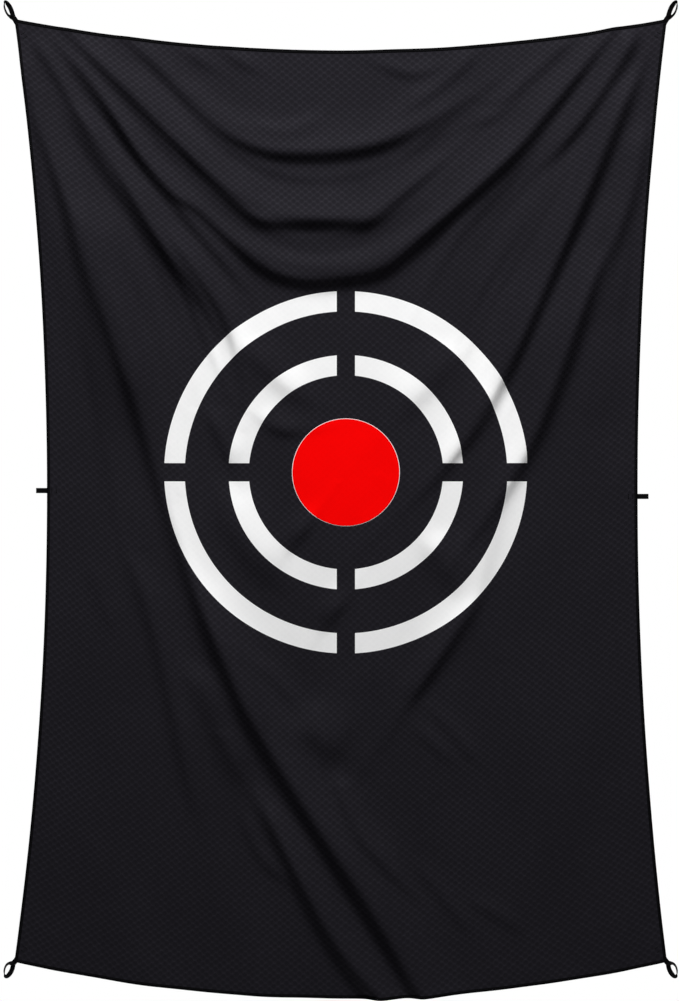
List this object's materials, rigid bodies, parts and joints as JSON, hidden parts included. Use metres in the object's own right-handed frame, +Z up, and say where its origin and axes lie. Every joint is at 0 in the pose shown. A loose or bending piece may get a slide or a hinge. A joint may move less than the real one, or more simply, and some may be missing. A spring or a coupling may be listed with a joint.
{
  "type": "golf target cloth",
  "caption": "Hanging cloth golf target: black draped sheet with a pressed white ring target and red bullseye, taped edges and webbing loops at its corners and sides.",
  "frame": {"origin": "middle of the line that joins the bearing points of the two top corner loops, on the centre line of the cloth", "axes": "+X to the right as the player faces the target, +Y away from the player, +Z up"},
  "size_m": [1.043, 0.034, 1.5346],
  "materials": {
    "cloth": "matte honeycomb-weave polyester",
    "edge_tape": "matte woven tape",
    "hem_thread": "twisted polyester thread",
    "bartack_thread": "dense zigzag thread",
    "loop_webbing": "ribbed flat webbing",
    "end_webbing": "ribbed flat webbing",
    "white_film": "heat-pressed matte film",
    "red_film": "heat-pressed matte film"
  },
  "bodies": {
    "cloth": {"cloth_panel": "cloth", "top_binding": "edge_tape", "bottom_binding": "edge_tape", "left_binding": "edge_tape", "right_binding": "edge_tape", "top_hem_thread": "hem_thread", "bottom_hem_thread": "hem_thread", "left_hem_thread": "hem_thread", "right_hem_thread": "hem_thread", "outer_ring_top_left": "white_film", "outer_ring_top_right": "white_film", "outer_ring_bottom_left": "white_film", "outer_ring_bottom_right": "white_film", "inner_ring_top_left": "white_film", "inner_ring_top_right": "white_film", "inner_ring_bottom_left": "white_film", "inner_ring_bottom_right": "white_film", "bullseye_white_base": "white_film", "bullseye_red_disc": "red_film", "top_left_loop_ends": "end_webbing", "top_right_loop_ends": "end_webbing", "bottom_left_loop_ends": "end_webbing", "bottom_right_loop_ends": "end_webbing", "left_side_loop_ends": "end_webbing", "right_side_loop_ends": "end_webbing", "top_left_bartack": "bartack_thread", "top_right_bartack": "bartack_thread", "bottom_left_bartack": "bartack_thread", "bottom_right_bartack": "bartack_thread", "left_side_bartack": "bartack_thread", "right_side_bartack": "bartack_thread"},
    "top_left_loop": {"top_left_loop": "loop_webbing"},
    "top_right_loop": {"top_right_loop": "loop_webbing"},
    "bottom_left_loop": {"bottom_left_loop": "loop_webbing"},
    "bottom_right_loop": {"bottom_right_loop": "loop_webbing"},
    "left_side_loop": {"left_side_loop": "loop_webbing"},
    "right_side_loop": {"right_side_loop": "loop_webbing"}
  },
  "joints": [
    {"name": "top_left_loop_hinge", "type": "hinge", "parent": "cloth", "child": "top_left_loop", "pos_m": [-0.50228, 0, -0.0262], "axis": [-0.866, 0, -0.5], "range_deg": [-85, 85], "stiffness_Nm_per_rad": 0.002},
    {"name": "top_right_loop_hinge", "type": "hinge", "parent": "cloth", "child": "top_right_loop", "pos_m": [0.50228, 0, -0.0262], "axis": [0.866, 0, -0.5], "range_deg": [-85, 85], "stiffness_Nm_per_rad": 0.002},
    {"name": "bottom_left_loop_hinge", "type": "hinge", "parent": "cloth", "child": "bottom_left_loop", "pos_m": [-0.50261, 0, -1.47986], "axis": [-0.8192, 0, 0.5736], "range_deg": [-85, 85], "stiffness_Nm_per_rad": 0.002},
    {"name": "bottom_right_loop_hinge", "type": "hinge", "parent": "cloth", "child": "bottom_right_loop", "pos_m": [0.50261, 0, -1.47986], "axis": [0.8192, 0, 0.5736], "range_deg": [-85, 85], "stiffness_Nm_per_rad": 0.002},
    {"name": "left_side_loop_hinge", "type": "hinge", "parent": "cloth", "child": "left_side_loop", "pos_m": [-0.45455, 0, -0.75314], "axis": [0, 0, 1], "range_deg": [-85, 85], "stiffness_Nm_per_rad": 0.002},
    {"name": "right_side_loop_hinge", "type": "hinge", "parent": "cloth", "child": "right_side_loop", "pos_m": [0.45956, 0, -0.76214], "axis": [0, 0, -1], "range_deg": [-85, 85], "stiffness_Nm_per_rad": 0.002}
  ]
}
